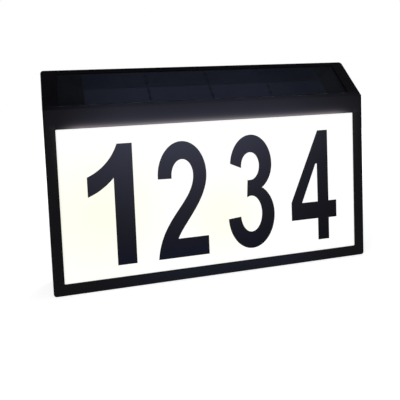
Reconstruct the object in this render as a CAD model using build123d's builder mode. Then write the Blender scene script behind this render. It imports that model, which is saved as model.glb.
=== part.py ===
from build123d import *
import os
from math import hypot, radians, tan

# House number sign, lit from inside and charged by a solar panel on its roof. Millimetres.
# X runs across, Y back to the wall and Z up. The origin is the middle of the back, on the wall.

# Overall form
width = 330.0             # across the front
front_height = 174.5      # upright front, from the bottom edge to the fold
roof_rise = 37.5          # height of the sloping roof
depth = 50.0              # wall to front
ridge_depth = 11.0        # flat top behind the roof
wall = 2.2                # moulded wall
corner_radius = 3.0       # corners seen from the front
edge_radius = 1.2         # edges round the front and the roof

# Window in the front
top_margin = 18.2         # fold to window
side_gap = 5.0            # room for the screw bosses beside the light panel
bottom_gap = 5.2          # and below it
window_radius = 0.8
window_chamfer = 0.4

# Light panel behind the window, from front to back
panel_overlap = 3.0       # hidden behind the frame on every side
panel_thickness = 3.0
guide_thickness = 4.0
reflector_thickness = 0.6
nest_clearance = 0.3
nest_rib = 1.2

# Lamps that shine down into the top edge of the light guide
led_count = 18
led_length = 3.5
led_width = 2.8
led_height = 0.8
led_gap = 0.3             # lamp to light guide
led_end_space = 12.0      # end of the strip to the first lamp
strip_thickness = 1.0
strip_end_space = 2.0     # end of the strip to the rib
tongue_length = 12.0      # solder tongue through the tray
tongue_reach = 7.0
tongue_inset = 18.0       # end of the strip to the middle of the tongue
tongue_clearance = 0.3

# Tray behind the light panel
tray_thickness = 2.0
tray_clearance = 0.4
tray_lap = 4.0            # above the rib of the nest
tray_screw_rise = 100.0   # lower to upper tray screws

# Rechargeable cell in its cradle on the tray
cell_radius = 9.2
cell_length = 64.0
cell_nub_radius = 2.8
cell_nub_length = 1.2
cell_edge = 0.4
cell_clearance = 0.3
cell_inset = 85.0         # side of the sign to the middle of the cell
cell_z = 15.0
cradle_wall = 1.8
cradle_end = 2.0
cradle_grip = 4.0         # how far the sides reach past the middle of the cell
contact_thickness = 0.5
contact_width = 7.0
contact_foot = 7.0        # below the middle of the cell
contact_tab = 5.0         # stands clear of the cell
spring_reach = 3.5
spring_tip = 6.0
spring_bend = 1.0

# Solar panel let into the roof
roof_margin = 4.5         # seat to fold and seat to ridge, along the slope
roof_side_margin = 14.0
seat_floor = 2.0
seat_radius = 1.0
seat_edge = 0.4           # rounding of the seat's rim
seat_clearance = 0.3
solar_board_thickness = 1.2
solar_cell_thickness = 0.3
solar_cell_clearance = 0.05
solar_cover_thickness = 0.9
solar_cover_edge = 0.3
solar_sink = 0.2          # clear sheet below the roof's face
solar_columns = 4
solar_rows = 2
solar_gap = 1.2
solar_end_border = 24.5
solar_edge_border = 1.2
solar_lead_hole = 3.0
solar_lead_x = 95.0

# Back cover, its seal and its screws
cover_thickness = 3.0
cover_edge = 0.6
cover_rib = 1.4           # stiffening ribs inside
cover_rib_height = 3.0
cover_rib_columns = 3
cover_rib_rows = 2
cover_rib_pitch_x = 110.0
cover_rib_pitch_z = 80.0
gasket_thickness = 0.8
gasket_inset = 0.4
lip_thickness = 1.6
lip_clearance = 0.3
post_height = 4.0
boss_radius = 3.0
boss_clearance = 0.4
top_boss_drop = 20.0
counterbore_depth = 2.4
screw_radius = 1.3
screw_length = 14.0
screw_head_radius = 2.4
screw_head_height = 1.9
small_screw_radius = 1.1
small_screw_length = 6.0
small_head_radius = 2.0
small_head_height = 1.4
head_clearance = 0.3
hole_clearance = 0.2
thread_clearance = 0.05
pilot_spare = 0.6         # pilot hole past the end of its screw

# Keyholes in the back cover
keyhole_spacing = 200.0
keyhole_drop = 46.0       # top of the sign to the middle of the entry
keyhole_radius = 4.6
keyhole_slot = 4.6
keyhole_run = 10.0
keyhole_lip = 2.2
keyhole_depth = 7.0
keyhole_side = 0.4        # pocket wider than the entry, all round
pocket_wall = 1.6

# Control board on the back cover, with the switch and the button
board_width = 60.0
board_height = 36.0
board_thickness = 1.6
board_x = 40.0
board_z = -30.0
board_hole_inset = 3.5
standoff_radius = 2.8
socket_count = 3
socket_pitch = 18.0
socket_width = 8.0
socket_height = 6.0
socket_depth = 6.0
chip_length = 6.0
chip_width = 5.0
chip_height = 1.6
chip_pitch = 16.0
capacitor_radius = 3.0
capacitor_height = 7.0
capacitor_pitch = 9.0
capacitor_x = 14.0
inductor_radius = 3.6
inductor_height = 3.2
inductor_bore = 1.4
parts_drop = 9.0          # chips and coils below the middle of the board
switch_x = -14.0          # from the middle of the board
switch_z = 3.0
switch_size = 8.5
switch_height = 7.0
plunger_radius = 1.7
plunger_seat = 2.0        # plunger inside the switch at rest
plunger_clearance = 0.2
button_radius = 4.5
button_flange = 1.5
button_flange_thickness = 1.2
button_clearance = 0.25
button_stop = 0.1         # flange to cover
button_travel = 1.2
button_sink = 0.5         # below the wall face
button_edge = 0.5
button_dish_radius = 3.4
button_dish_depth = 0.4
button_pocket_radius = 9.0
button_pocket_depth = 1.2

# Stick-on numerals, fitted to the window's margins
numeral_thickness = 0.4
numeral_rise = 11.7
numeral_headroom = 16.4
numeral_left_margin = 25.75
numeral_right_margin = 21.5
numeral_gaps = (21.5, 21.8, 19.7)

# Leads inside the housing
lead_radius = 0.7
lead_spread = 1.25        # each lead from the middle of its socket
lead_bend = 6.0
bend_share = 0.45         # of the shorter run, the most that a bend takes up
lead_drop = 18.0          # straight run down into a socket
solar_lead_run = 16.0
lamp_lead_run = 20.0
plus_lead_run = 16.0
minus_lead_start = 8.0
minus_lead_rise = 22.0
tab_clearance = 3.0       # black lead over the tab of the plus contact
black_lead_lift = 6.0     # black lead over the red one, above their socket

# Heights and depths that follow from these
height = front_height + roof_rise
z_bottom = -height / 2
z_top = height / 2
z_fold = z_bottom + front_height
y_front = -depth
y_ridge = -ridge_depth
roof_run = depth - ridge_depth
slope = hypot(roof_rise, roof_run)
y_cover = -cover_thickness
y_rim = y_cover - gasket_thickness
y_post = y_cover - post_height

frame_cover = wall + nest_clearance + panel_overlap
side_margin = frame_cover + side_gap
bottom_margin = frame_cover + bottom_gap
window_width = width - 2 * side_margin
window_height = front_height - top_margin - bottom_margin
z_window = z_bottom + bottom_margin + window_height / 2

panel_width = window_width + 2 * panel_overlap
panel_height = window_height + 2 * panel_overlap
y_panel = y_front + wall
y_guide = y_panel + panel_thickness
y_reflector = y_guide + guide_thickness
y_tray = y_reflector + reflector_thickness
y_tray_back = y_tray + tray_thickness
stack_depth = y_tray - y_panel

z_nest_low = z_window - panel_height / 2 - nest_clearance
z_strip = z_window + panel_height / 2 + led_gap + led_height
z_nest_high = z_strip + strip_thickness
nest_width = panel_width + 2 * nest_clearance
nest_height = z_nest_high - z_nest_low
z_nest = (z_nest_low + z_nest_high) / 2
strip_length = nest_width - 2 * strip_end_space
tongue_x = strip_length / 2 - tongue_inset

roof = Plane(origin=(0, y_front, z_fold), x_dir=(1, 0, 0), z_dir=(0, -roof_rise, roof_run))
off_roof = Axis(roof.origin, roof.z_dir)
seat_length = width - 2 * roof_side_margin
seat_width = slope - 2 * roof_margin
seat_depth = solar_sink + solar_cover_thickness + solar_cell_thickness + solar_board_thickness
solar_length = seat_length - 2 * seat_clearance
solar_width = seat_width - 2 * seat_clearance
solar_pitch_x = (solar_length - 2 * solar_end_border + solar_gap) / solar_columns
solar_pitch_y = (solar_width - 2 * solar_edge_border + solar_gap) / solar_rows

# Screw places, as across and up
boss_x = nest_width / 2 + side_gap / 2
boss_low = z_nest_low - bottom_gap / 2
boss_high = z_top - top_boss_drop
cover_points = [(x, z) for z in (boss_low, boss_high) for x in (-boss_x, 0, boss_x)]
tray_heights = (z_nest - tray_screw_rise / 2, z_nest + tray_screw_rise / 2)
tray_points = [(x, z) for x in (-boss_x, boss_x) for z in tray_heights]
board_reach_x = board_width / 2 - board_hole_inset
board_reach_z = board_height / 2 - board_hole_inset
board_points = [
    (board_x + x, board_z + z)
    for x in (-board_reach_x, board_reach_x)
    for z in (-board_reach_z, board_reach_z)
]
cover_pilot = screw_length + pilot_spare - (cover_thickness + post_height - counterbore_depth)
keyhole_z = z_top - keyhole_drop
keyhole_xs = (-keyhole_spacing / 2, keyhole_spacing / 2)

# Button, switch and board, one behind the other
button_point = (board_x + switch_x, board_z + switch_z)
y_flange = y_cover - button_stop
y_plunger = y_flange - button_flange_thickness
y_switch = y_plunger - button_travel - button_clearance
y_board = y_switch - switch_height
y_board_front = y_board - board_thickness

# Cell and contacts along X
cell_x = -width / 2 + cell_inset
cell_span = cell_length + cell_nub_length
cradle_inner = cell_span + spring_reach + 2 * contact_thickness
cradle_minus = cell_x - cradle_inner / 2
cradle_plus = cell_x + cradle_inner / 2
cell_plus = cradle_plus - contact_thickness
y_cell = y_tray_back + cell_clearance + cell_radius
y_tab = y_cell + cell_radius + contact_tab

# Room for the numerals
z_numeral = z_bottom + bottom_margin + numeral_rise
numeral_height = window_height - numeral_rise - numeral_headroom
numeral_run = window_width - numeral_left_margin - numeral_right_margin - sum(numeral_gaps)


def facing(y):
    """Upright plane at depth y that faces the front: sketch x runs across and sketch y up."""
    return Plane.XZ.offset(-y)


def save(part, name):
    """Name a finished piece and write it."""
    part.label = name
    export_step(part, f"parts/{name}.step")


def side_profile(inset, y_back):
    """Section of the housing, drawn inset from its outer face and running back to y_back."""
    z_low = z_bottom + inset
    z_high = z_top - inset
    fold = (y_front + inset, z_fold - inset * (slope - roof_rise) / roof_run)
    ridge = (y_ridge + inset * (slope - roof_run) / roof_rise, z_high)
    with BuildSketch(Plane.YZ) as section:
        with BuildLine():
            Polyline((y_front + inset, z_low), fold, ridge, (y_back, z_high), (y_back, z_low), close=True)
        make_face()
    return section.sketch


def screw(radius, length, head_radius, head_height):
    """Plain screw along Y, its head's seat at the origin and its end to the front."""
    with BuildPart() as body:
        with BuildSketch(facing(0)):
            Circle(radius)
        extrude(amount=length)
        with BuildSketch(facing(0)):
            Circle(head_radius)
        extrude(amount=-head_height)
    return body.part


def lead(name, points):
    """Wire through the points, with each bend as its two runs allow."""
    stops = [Vector(*point) for point in points]
    radii = []
    for before, corner, after in zip(stops, stops[1:], stops[2:]):
        turn = (corner - before).get_angle(after - corner)
        run = min((corner - before).length, (after - corner).length)
        radii.append(min(lead_bend, bend_share * run / tan(radians(turn / 2))))
    with BuildPart() as wire:
        with BuildLine() as route:
            FilletPolyline(*stops, radius=radii)
        with BuildSketch(Plane(origin=route.line @ 0, z_dir=route.line % 0)):
            Circle(lead_radius)
        sweep()
    save(wire.part, name)


def draw_one():
    """Numeral 1: a broad stem with a curved flag."""
    with BuildSketch() as outline:
        with BuildLine():
            Polyline((25.0, 0), (43.75, 0), (43.75, 117.5), (29.25, 117.5))
            ThreePointArc((29.25, 117.5), (18.5, 100.0), (0, 87.4))
            Line((0, 87.4), (0, 68.3))
            ThreePointArc((0, 68.3), (13.5, 75.2), (25.0, 85.2))
            Line((25.0, 85.2), (25.0, 0))
        make_face()
    return outline.sketch


def draw_two():
    """Numeral 2: an oval arch that runs down into a straight foot."""
    arch = (27.0, 82.0)
    with BuildSketch() as outline:
        with BuildLine():
            outer = EllipticalCenterArc(arch, 24.7, 33.8, 0, arc_size=180)
            inner = EllipticalCenterArc(arch, 11.0, 16.0, 0, arc_size=180)
            Polyline(outer @ 1, (2.3, 79.8), (16.0, 79.5), inner @ 1)
            Bezier(outer @ 0, (51.7, 55.5), (26.5, 34.0), (20.5, 19.0))
            Polyline((20.5, 19.0), (52.0, 19.0), (52.0, 0), (0, 0))
            Bezier((0, 0), (4.0, 42.0), (38.0, 54.0), inner @ 0)
        make_face()
    return outline.sketch


def draw_three():
    """Numeral 3: two oval bowls that meet at a waist."""
    upper = (25.7, 86.6)
    lower = (25.2, 34.6)
    upper_eye = (24.7, 85.6)
    lower_eye = (24.9, 36.1)
    with BuildSketch() as outline:
        with BuildLine():
            crown = EllipticalCenterArc(upper, 22.5, 30.9, 0, arc_size=175)
            shoulder = EllipticalCenterArc(upper, 22.5, 28.0, 300, arc_size=60)
            hip = EllipticalCenterArc(lower, 25.2, 31.8, 0, arc_size=60)
            base = EllipticalCenterArc(lower, 25.2, 34.4, 183, arc_size=177)
            base_eye = EllipticalCenterArc(lower_eye, 11.6, 18.7, 186, arc_size=174)
            hip_eye = EllipticalCenterArc(lower_eye, 11.6, 18.7, 0, arc_size=112)
            shoulder_eye = EllipticalCenterArc(upper_eye, 9.8, 14.5, 270, arc_size=90)
            crown_eye = EllipticalCenterArc(upper_eye, 9.8, 14.0, 0, arc_size=186)
            Line(crown @ 1, crown_eye @ 1)
            Line(base @ 0, base_eye @ 0)
            Polyline(hip_eye @ 1, (21.5, 71.1), shoulder_eye @ 0)
            Line(shoulder @ 0, hip @ 1)
        make_face()
    return outline.sketch


def draw_four():
    """Numeral 4: a stem, a crossbar and a diagonal, with the eye cut out."""
    with BuildSketch() as outline:
        with BuildLine():
            Polyline(
                (0, 23.4), (30.6, 23.4), (30.6, 0), (43.3, 0), (43.3, 23.0), (52.6, 23.0), (52.6, 41.4),
                (43.3, 41.4), (43.0, 117.3), (31.6, 117.3), (0, 42.6), close=True,
            )
        make_face()
        with BuildLine():
            Polyline((12.2, 41.4), (30.6, 41.4), (30.4, 82.2), (28.6, 82.2), close=True)
        make_face(mode=Mode.SUBTRACT)
    return outline.sketch


def numeral(name, left, drawing, factor):
    """Stick-on numeral on the light panel: a drawing scaled by factor, with its left edge at left."""
    seat = Plane(origin=(left, y_panel, z_numeral), x_dir=(1, 0, 0), z_dir=(0, -1, 0))
    with BuildPart() as sticker:
        with BuildSketch(seat):
            add(drawing)
            scale(by=factor)
        extrude(amount=numeral_thickness)
    save(sticker.part, name)


def sheet(name, y_back, thickness):
    """One sheet of the light panel, cut to the size of the nest."""
    with BuildPart() as layer:
        with BuildSketch(facing(y_back)):
            with Locations((0, z_window)):
                Rectangle(panel_width, panel_height)
        extrude(amount=thickness)
    save(layer.part, name)


os.makedirs("parts", exist_ok=True)

# Outer form of the housing: upright front, sloping roof, all its outer edges eased
with BuildPart() as form:
    extrude(side_profile(0, y_rim), amount=width / 2, both=True)
    fillet(form.edges().filter_by(Axis.Y), corner_radius)
    flat_faces = form.faces().filter_by(GeomType.PLANE)
    shown_faces = flat_faces.filter_by(lambda face: face.normal_at().Y < -0.1)
    shown_edges = shown_faces.edges()
    fillet(form.edges().filter_by(lambda edge: edge in shown_edges), edge_radius)

# Front housing
with BuildPart() as front_housing:
    add(form.part)
    extrude(side_profile(wall, 0), amount=width / 2 - wall, both=True, mode=Mode.SUBTRACT)
    # Window with an eased front edge
    with BuildSketch(facing(y_front)):
        with Locations((0, z_window)):
            RectangleRounded(window_width, window_height, window_radius)
    extrude(amount=-wall, mode=Mode.SUBTRACT)
    window_rim = front_housing.faces().sort_by(Axis.Y)[0].inner_wires()[0].edges()
    chamfer(window_rim, window_chamfer)
    # Screw bosses for the cover and for the tray
    with BuildSketch(facing(y_post)):
        with Locations(*cover_points):
            Circle(boss_radius)
    extrude(amount=y_post - y_panel)
    with BuildSketch(facing(y_tray)):
        with Locations(*tray_points):
            Circle(boss_radius)
    extrude(amount=stack_depth)
    # Rib nest that holds the light panel and the lamps, cut clear of the bosses
    with BuildSketch(facing(y_tray)):
        with Locations((0, z_nest)):
            Rectangle(nest_width + 2 * nest_rib, nest_height + 2 * nest_rib)
    extrude(amount=stack_depth)
    with BuildSketch(facing(y_tray)):
        with Locations((0, z_nest)):
            Rectangle(nest_width, nest_height)
    extrude(amount=stack_depth, mode=Mode.SUBTRACT)
    # Seat for the solar panel, thickened inside
    with BuildSketch(roof):
        with Locations((0, slope / 2)):
            Rectangle(seat_length + 2 * wall, seat_width + 2 * wall)
    extrude(amount=-seat_depth - seat_floor)
    with BuildSketch(roof):
        with Locations((0, slope / 2)):
            RectangleRounded(seat_length, seat_width, seat_radius)
    extrude(amount=-seat_depth, mode=Mode.SUBTRACT)
    with BuildSketch(roof):
        with Locations((solar_lead_x, slope / 2)):
            Circle(solar_lead_hole)
    extrude(amount=-seat_depth - seat_floor, mode=Mode.SUBTRACT)
    # The bosses end at the outer form, and the seat's rim is eased
    add(form.part, mode=Mode.INTERSECT)
    seat_rim = front_housing.faces().sort_by(off_roof)[-1].inner_wires()[0].edges()
    fillet(seat_rim, seat_edge)
    # Pilot holes
    with BuildSketch(facing(y_post)):
        with Locations(*cover_points):
            Circle(screw_radius + thread_clearance)
    extrude(amount=cover_pilot, mode=Mode.SUBTRACT)
    with BuildSketch(facing(y_tray)):
        with Locations(*tray_points):
            Circle(small_screw_radius + thread_clearance)
    extrude(amount=small_screw_length + pilot_spare - tray_thickness, mode=Mode.SUBTRACT)
save(front_housing.part, "front_housing")

# Light panel: opal front, clear guide, white reflector
sheet("front_panel", y_guide, panel_thickness)
sheet("light_guide", y_reflector, guide_thickness)
sheet("reflector_sheet", y_tray, reflector_thickness)

# Lamp strip under the top rib, with a solder tongue through the tray
strip_middle = (y_panel + y_tray) / 2
tongue_end = y_tray_back + tongue_reach
with BuildPart() as led_strip:
    with BuildSketch(Plane.XY.offset(z_strip)):
        with Locations((0, strip_middle)):
            Rectangle(strip_length, stack_depth - 2 * nest_clearance)
        with Locations((tongue_x, strip_middle)):
            Rectangle(tongue_length, tongue_end - strip_middle, align=(Align.CENTER, Align.MIN))
    extrude(amount=strip_thickness)
save(led_strip.part, "led_strip")

led_pitch = (strip_length - 2 * led_end_space) / (led_count - 1)
with BuildPart() as leds:
    with BuildSketch(Plane.XY.offset(z_strip)):
        with Locations((0, (y_guide + y_reflector) / 2)):
            with GridLocations(led_pitch, 0, led_count, 1):
                Rectangle(led_length, led_width)
    extrude(amount=-led_height)
save(leds.part, "leds")

# Tray with the cradle for the cell
tray_width = width - 2 * wall - 2 * tray_clearance
tray_low = z_bottom + wall + tray_clearance
tray_high = z_nest_high + nest_rib + tray_lap
cradle_half = cell_radius + cell_clearance + cradle_wall
with BuildPart() as tray:
    with BuildSketch(facing(y_tray_back)):
        with Locations((0, tray_low)):
            Rectangle(tray_width, tray_high - tray_low, align=(Align.CENTER, Align.MIN))
        with Locations(*cover_points):
            Circle(boss_radius + boss_clearance, mode=Mode.SUBTRACT)
        with Locations(*tray_points):
            Circle(small_screw_radius + hole_clearance, mode=Mode.SUBTRACT)
        with Locations((tongue_x, z_strip + strip_thickness / 2)):
            Rectangle(
                tongue_length + 2 * tongue_clearance,
                strip_thickness + 2 * tongue_clearance,
                mode=Mode.SUBTRACT,
            )
    extrude(amount=tray_thickness)
    with BuildSketch(facing(y_tray_back)):
        with Locations((cell_x, cell_z)):
            Rectangle(cradle_inner + 2 * cradle_end, 2 * cradle_half)
    extrude(amount=-(y_cell + cradle_grip - y_tray_back))
    with BuildSketch(Plane.YZ.offset(cradle_minus)):
        with Locations((y_cell, cell_z)):
            Circle(cell_radius + cell_clearance)
            Rectangle(cradle_half, 2 * (cell_radius - cell_clearance), align=(Align.MIN, Align.CENTER))
    extrude(amount=cradle_inner, mode=Mode.SUBTRACT)
save(tray.part, "tray")

# Cell, with its plus nub to the right
with BuildPart() as battery_cell:
    with BuildSketch(Plane.YZ.offset(cell_plus - cell_span)):
        with Locations((y_cell, cell_z)):
            Circle(cell_radius)
    extrude(amount=cell_length)
    chamfer(battery_cell.edges().filter_by(GeomType.CIRCLE), cell_edge)
    with BuildSketch(Plane.YZ.offset(cell_plus)):
        with Locations((y_cell, cell_z)):
            Circle(cell_nub_radius)
    extrude(amount=-cell_nub_length)
save(battery_cell.part, "battery_cell")

# Contacts at the two ends of the cradle, each with a solder tab
with BuildPart() as battery_plus_contact:
    with BuildSketch(Plane.XY.offset(cell_z)):
        with Locations((cell_plus, y_cell - contact_foot)):
            Rectangle(contact_thickness, y_tab - y_cell + contact_foot, align=(Align.MIN, Align.MIN))
    extrude(amount=contact_width / 2, both=True)
save(battery_plus_contact.part, "battery_plus_contact")

spring_root = cradle_minus + contact_thickness / 2
with BuildPart() as battery_minus_contact:
    with BuildSketch(Plane.XY.offset(cell_z)):
        with BuildLine():
            FilletPolyline(
                (spring_root, y_tab),
                (spring_root, y_cell - contact_foot),
                (spring_root + spring_reach, y_cell),
                (spring_root + spring_reach / 2, y_cell + spring_tip),
                radius=spring_bend,
            )
        trace(line_width=contact_thickness)
    extrude(amount=contact_width / 2, both=True)
save(battery_minus_contact.part, "battery_minus_contact")

# Solar panel: board, cells and clear sheet in the roof seat
y_solar_board = -seat_depth
y_solar_cells = y_solar_board + solar_board_thickness
with BuildPart() as solar_board:
    with BuildSketch(roof.offset(y_solar_board)):
        with Locations((0, slope / 2)):
            RectangleRounded(solar_length, solar_width, seat_radius)
    extrude(amount=solar_board_thickness)
save(solar_board.part, "solar_board")

with BuildPart() as solar_cells:
    with BuildSketch(roof.offset(y_solar_cells)):
        with Locations((0, slope / 2)):
            with GridLocations(solar_pitch_x, solar_pitch_y, solar_columns, solar_rows):
                Rectangle(solar_pitch_x - solar_gap, solar_pitch_y - solar_gap)
    extrude(amount=solar_cell_thickness)
save(solar_cells.part, "solar_cells")

with BuildPart() as solar_cover:
    with BuildSketch(roof.offset(y_solar_cells)):
        with Locations((0, slope / 2)):
            RectangleRounded(solar_length, solar_width, seat_radius)
    extrude(amount=solar_cell_thickness + solar_cover_thickness)
    chamfer(solar_cover.faces().sort_by(off_roof)[-1].edges(), solar_cover_edge)
    with BuildSketch(roof.offset(y_solar_cells)):
        with Locations((0, slope / 2)):
            with GridLocations(solar_pitch_x, solar_pitch_y, solar_columns, solar_rows):
                Rectangle(
                    solar_pitch_x - solar_gap + 2 * solar_cell_clearance,
                    solar_pitch_y - solar_gap + 2 * solar_cell_clearance,
                )
    extrude(amount=solar_cell_thickness + solar_cell_clearance, mode=Mode.SUBTRACT)
save(solar_cover.part, "solar_cover")

# Back cover
lip_width = width - 2 * wall - 2 * lip_clearance
lip_height = height - 2 * wall - 2 * lip_clearance
keyhole_tops = [(x, keyhole_z + keyhole_run / 2) for x in keyhole_xs]
keyhole_entries = [(x, keyhole_z) for x in keyhole_xs]
pocket_radius = keyhole_radius + keyhole_side
with BuildPart() as back_cover:
    with BuildSketch(facing(0)):
        RectangleRounded(width, height, corner_radius)
    extrude(amount=cover_thickness)
    chamfer(back_cover.faces().sort_by(Axis.Y)[-1].edges(), cover_edge)
    # Lip inside the housing, ribs, screw posts, keyhole pockets and board standoffs
    with BuildSketch(facing(y_cover)):
        Rectangle(lip_width, lip_height)
        Rectangle(lip_width - 2 * lip_thickness, lip_height - 2 * lip_thickness, mode=Mode.SUBTRACT)
    extrude(amount=post_height)
    with BuildSketch(facing(y_cover)):
        with GridLocations(cover_rib_pitch_x, 0, cover_rib_columns, 1):
            Rectangle(cover_rib, lip_height)
        with GridLocations(0, cover_rib_pitch_z, 1, cover_rib_rows):
            Rectangle(lip_width, cover_rib)
    extrude(amount=cover_rib_height)
    with BuildSketch(facing(y_cover)):
        with Locations(*cover_points):
            Circle(boss_radius)
        Rectangle(lip_width, lip_height, mode=Mode.INTERSECT)
    extrude(amount=post_height)
    with BuildSketch(facing(y_cover)):
        with Locations(*keyhole_tops):
            SlotCenterToCenter(keyhole_run, 2 * (pocket_radius + pocket_wall), rotation=90)
    extrude(amount=keyhole_depth + pocket_wall - cover_thickness)
    with BuildSketch(facing(y_cover)):
        with Locations(*board_points):
            Circle(standoff_radius)
    extrude(amount=y_cover - y_board)
    # Keyholes: entry and slot through the lip, pocket behind it
    with BuildSketch(facing(-keyhole_lip)):
        with Locations(*keyhole_tops):
            SlotCenterToCenter(keyhole_run, 2 * pocket_radius, rotation=90)
    extrude(amount=keyhole_depth - keyhole_lip, mode=Mode.SUBTRACT)
    with BuildSketch(facing(0)):
        with Locations(*keyhole_entries):
            Circle(keyhole_radius)
        with Locations(*keyhole_tops):
            SlotCenterToCenter(keyhole_run, keyhole_slot, rotation=90)
    extrude(amount=keyhole_lip, mode=Mode.SUBTRACT)
    # Screw holes, pilot holes and the button's pocket
    with BuildSketch(facing(0)):
        with Locations(*cover_points):
            Circle(screw_radius + hole_clearance)
    extrude(amount=cover_thickness + post_height, mode=Mode.SUBTRACT)
    with BuildSketch(facing(0)):
        with Locations(*cover_points):
            Circle(screw_head_radius + head_clearance)
    extrude(amount=counterbore_depth, mode=Mode.SUBTRACT)
    with BuildSketch(facing(y_board)):
        with Locations(*board_points):
            Circle(small_screw_radius + thread_clearance)
    extrude(amount=-(small_screw_length + pilot_spare - board_thickness), mode=Mode.SUBTRACT)
    with BuildSketch(facing(0)):
        with Locations(button_point):
            Circle(button_pocket_radius)
    extrude(amount=button_pocket_depth, mode=Mode.SUBTRACT)
    with BuildSketch(facing(0)):
        with Locations(button_point):
            Circle(button_radius + button_clearance)
    extrude(amount=cover_thickness, mode=Mode.SUBTRACT)
save(back_cover.part, "back_cover")

# Seal between the housing's rim and the cover
with BuildPart() as cover_gasket:
    with BuildSketch(facing(y_cover)):
        RectangleRounded(width - 2 * gasket_inset, height - 2 * gasket_inset, corner_radius - gasket_inset)
        Rectangle(width - 2 * wall, height - 2 * wall, mode=Mode.SUBTRACT)
    extrude(amount=gasket_thickness)
save(cover_gasket.part, "cover_gasket")

# Screws
cover_screw = screw(screw_radius, screw_length, screw_head_radius, screw_head_height)
small_screw = screw(small_screw_radius, small_screw_length, small_head_radius, small_head_height)
with BuildPart() as cover_screws:
    with Locations(*[(x, -counterbore_depth, z) for x, z in cover_points]):
        add(cover_screw)
save(cover_screws.part, "cover_screws")

with BuildPart() as inner_screws:
    with Locations(*[(x, y_tray_back, z) for x, z in tray_points]):
        add(small_screw)
    with Locations(*[Location((x, y_board_front, z), (180, 0, 0)) for x, z in board_points]):
        add(small_screw)
save(inner_screws.part, "inner_screws")

# Control board and what is soldered on it
with BuildPart() as control_board:
    with BuildSketch(facing(y_board)):
        with Locations((board_x, board_z)):
            RectangleRounded(board_width, board_height, board_hole_inset / 2)
        with Locations(*board_points):
            Circle(small_screw_radius + hole_clearance, mode=Mode.SUBTRACT)
    extrude(amount=board_thickness)
save(control_board.part, "control_board")

socket_top = board_z + board_height / 2
with BuildPart() as lead_sockets:
    with BuildSketch(facing(y_board_front)):
        with Locations((board_x, socket_top - socket_height / 2)):
            with GridLocations(socket_pitch, 0, socket_count, 1):
                Rectangle(socket_width, socket_height)
    extrude(amount=socket_depth)
save(lead_sockets.part, "lead_sockets")

with BuildPart() as board_chips:
    with BuildSketch(facing(y_board_front)):
        with Locations((board_x - capacitor_x / 2, board_z - parts_drop)):
            with GridLocations(chip_pitch, 0, 2, 1):
                Rectangle(chip_length, chip_width)
    extrude(amount=chip_height)
save(board_chips.part, "board_chips")

with BuildPart() as board_capacitors:
    with BuildSketch(facing(y_board_front)):
        with Locations((board_x + capacitor_x, board_z - parts_drop / 2)):
            with GridLocations(0, capacitor_pitch, 1, 2):
                Circle(capacitor_radius)
    extrude(amount=capacitor_height)
save(board_capacitors.part, "board_capacitors")

with BuildPart() as board_inductor:
    with BuildSketch(facing(y_board_front)):
        with Locations((board_x, board_z)):
            Circle(inductor_radius)
            Circle(inductor_bore, mode=Mode.SUBTRACT)
    extrude(amount=inductor_height)
save(board_inductor.part, "board_inductor")

# Switch, its plunger and the button that presses it
with BuildPart() as switch_body:
    with BuildSketch(facing(y_board)):
        with Locations(button_point):
            Rectangle(switch_size, switch_size)
    extrude(amount=-switch_height)
    with BuildSketch(facing(y_switch)):
        with Locations(button_point):
            Circle(plunger_radius + plunger_clearance)
    extrude(amount=plunger_seat + button_travel + button_clearance, mode=Mode.SUBTRACT)
save(switch_body.part, "switch_body")

with BuildPart() as switch_plunger:
    with BuildSketch(facing(y_plunger)):
        with Locations(button_point):
            Circle(plunger_radius)
    extrude(amount=y_plunger - y_switch + plunger_seat)
save(switch_plunger.part, "switch_plunger")

dish_sphere = (button_dish_radius ** 2 + button_dish_depth ** 2) / (2 * button_dish_depth)
with BuildPart() as push_button:
    with BuildSketch(facing(-button_sink)):
        with Locations(button_point):
            Circle(button_radius)
    extrude(amount=-button_sink - y_plunger)
    fillet(push_button.faces().sort_by(Axis.Y)[-1].edges(), button_edge)
    with Locations((button_point[0], dish_sphere - button_sink - button_dish_depth, button_point[1])):
        Sphere(dish_sphere, mode=Mode.SUBTRACT)
    with BuildSketch(facing(y_flange)):
        with Locations(button_point):
            Circle(button_radius + button_flange)
    extrude(amount=button_flange_thickness)
save(push_button.part, "push_button")

# Numerals, from left to right, all scaled alike to the room that they have
drawings = [draw_one(), draw_two(), draw_three(), draw_four()]
drawn = [drawing.bounding_box().size for drawing in drawings]
numeral_scale = min(
    numeral_height / max(size.Y for size in drawn),
    numeral_run / sum(size.X for size in drawn),
)
left = -window_width / 2 + numeral_left_margin
for number, (drawing, size, gap) in enumerate(zip(drawings, drawn, (*numeral_gaps, 0)), start=1):
    numeral(f"numeral_{number}", left, drawing, numeral_scale)
    left += size.X * numeral_scale + gap

# Leads from the solar panel, the lamps and the cell, down into the sockets
y_socket = y_board_front - socket_depth / 2
z_lead = socket_top + lead_drop
cell_socket_x = board_x - socket_pitch
lamp_socket_x = board_x + socket_pitch
y_lamp_lead = y_tray_back + tongue_reach / 2
for name, side in (("red", -1), ("black", 1)):
    apart = side * lead_spread
    lead(
        f"solar_lead_{name}",
        [
            roof.from_local_coords((solar_lead_x + apart, slope / 2, -seat_depth)),
            roof.from_local_coords((solar_lead_x + apart, slope / 2, -seat_depth - solar_lead_run)),
            (board_x + apart, y_socket, z_lead),
            (board_x + apart, y_socket, socket_top),
        ],
    )
    lead(
        f"lamp_lead_{name}",
        [
            (tongue_x + apart, y_lamp_lead + apart, z_strip),
            (tongue_x + apart, y_lamp_lead + apart, z_strip - lamp_lead_run),
            (lamp_socket_x + apart, y_socket + apart, z_lead),
            (lamp_socket_x + apart, y_socket + apart, socket_top),
        ],
    )

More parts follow.
